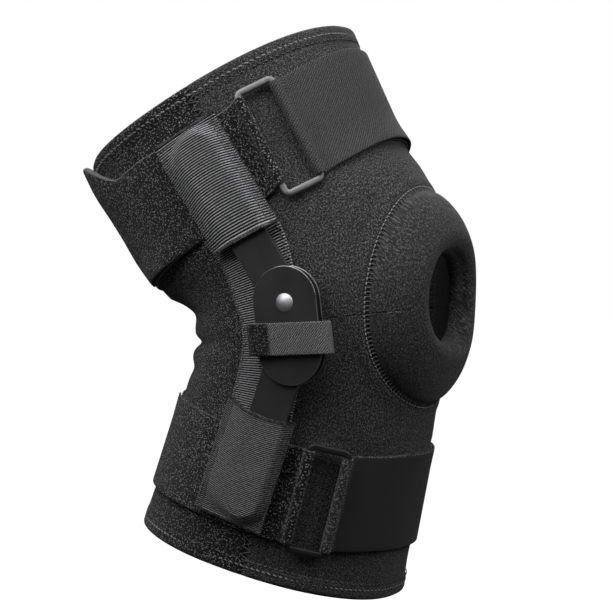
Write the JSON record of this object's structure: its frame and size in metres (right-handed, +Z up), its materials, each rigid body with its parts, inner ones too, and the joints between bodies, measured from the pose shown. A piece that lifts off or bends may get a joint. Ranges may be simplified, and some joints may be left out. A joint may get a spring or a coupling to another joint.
{
  "type": "knee brace",
  "caption": "Hinged wrap-round knee brace: black sleeve with open padded kneecap ring, geared side hinges, bars in sewn pockets, and ringed straps above and below.",
  "frame": {"origin": "centre of the knee, midway between the four hinge rivets", "axes": "+X to the front of the leg, -Y to the outer (lateral) side, +Z up the standing leg"},
  "size_m": [0.2097, 0.1532, 0.2996],
  "materials": {
    "knit": "fine black knit over neoprene, matt with a light speckle",
    "plush": "black brushed loop pile",
    "ribbed_webbing": "black ribbed elastic webbing with light ridges",
    "twill_elastic": "black woven elastic",
    "black_steel": "satin black coating, bright at worn edges",
    "rivet_steel": "domed plated rivet",
    "washer_nylon": "nylon bearing washer",
    "zinc_ring": "dull grey plated wire",
    "dark_ring": "black coated wire"
  },
  "bodies": {
    "thigh": {"thigh_front_panel": "knit", "thigh_back_panel": "plush", "lateral_upper_bar": "black_steel", "medial_upper_bar": "black_steel", "lateral_upper_pocket": "ribbed_webbing", "medial_upper_pocket": "ribbed_webbing", "lateral_upper_strip": "ribbed_webbing", "medial_upper_strip": "ribbed_webbing", "thigh_front_strap": "twill_elastic", "thigh_rear_strap": "plush"},
    "lateral_hinge": {"lateral_outer_plate": "black_steel", "lateral_inner_plate": "black_steel", "lateral_upper_rivet": "rivet_steel", "lateral_lower_rivet": "rivet_steel", "lateral_washers": "washer_nylon", "lateral_keeper_strap": "twill_elastic", "knee_front_panel": "knit", "knee_back_panel": "plush", "patella_pad": "knit", "lateral_knee_strip": "ribbed_webbing", "medial_knee_strip": "ribbed_webbing"},
    "medial_hinge": {"medial_outer_plate": "black_steel", "medial_inner_plate": "black_steel", "medial_upper_rivet": "rivet_steel", "medial_lower_rivet": "rivet_steel", "medial_washers": "washer_nylon", "medial_keeper_strap": "twill_elastic"},
    "calf": {"calf_front_panel": "knit", "calf_back_panel": "plush", "lateral_lower_bar": "black_steel", "medial_lower_bar": "black_steel", "lateral_lower_pocket": "ribbed_webbing", "medial_lower_pocket": "ribbed_webbing", "calf_front_strap": "twill_elastic", "calf_rear_strap": "plush"},
    "thigh_ring": {"thigh_ring": "zinc_ring"},
    "calf_ring": {"calf_ring": "dark_ring"}
  },
  "joints": [
    {"name": "lateral_upper_pivot", "type": "hinge", "parent": "thigh", "child": "lateral_hinge", "pos_m": [-0.00128, 0, 0.01042], "axis": [0, 1, 0], "range_deg": [-26.5, 16], "deforming": ["knee_front_panel", "knee_back_panel", "patella_pad", "lateral_knee_strip", "medial_knee_strip"]},
    {"name": "lateral_lower_pivot", "type": "hinge", "parent": "lateral_hinge", "child": "calf", "pos_m": [0.00128, 0, -0.01042], "axis": [0, 1, 0], "range_deg": [-26.5, 16]},
    {"name": "medial_upper_pivot", "type": "hinge", "parent": "thigh", "child": "medial_hinge", "pos_m": [-0.00128, 0, 0.01042], "axis": [0, 1, 0], "range_deg": [-26.5, 16]},
    {"name": "thigh_ring_swivel", "type": "hinge", "parent": "thigh", "child": "thigh_ring", "pos_m": [-0.00304, -0.05285, 0.10136], "axis": [-0.4896, 0.0013, 0.8719], "range_deg": [-2, 6], "deforming": ["thigh_rear_strap"]},
    {"name": "calf_ring_swivel", "type": "hinge", "parent": "calf", "child": "calf_ring", "pos_m": [0.01844, -0.05233, -0.09082], "axis": [0.2703, 0.0015, 0.9628], "range_deg": [-2, 6], "deforming": ["calf_rear_strap"]}
  ],
  "couplings": [
    {"joint": "lateral_lower_pivot", "follows": "lateral_upper_pivot", "ratio": 1},
    {"joint": "medial_upper_pivot", "follows": "lateral_upper_pivot", "ratio": 1}
  ]
}
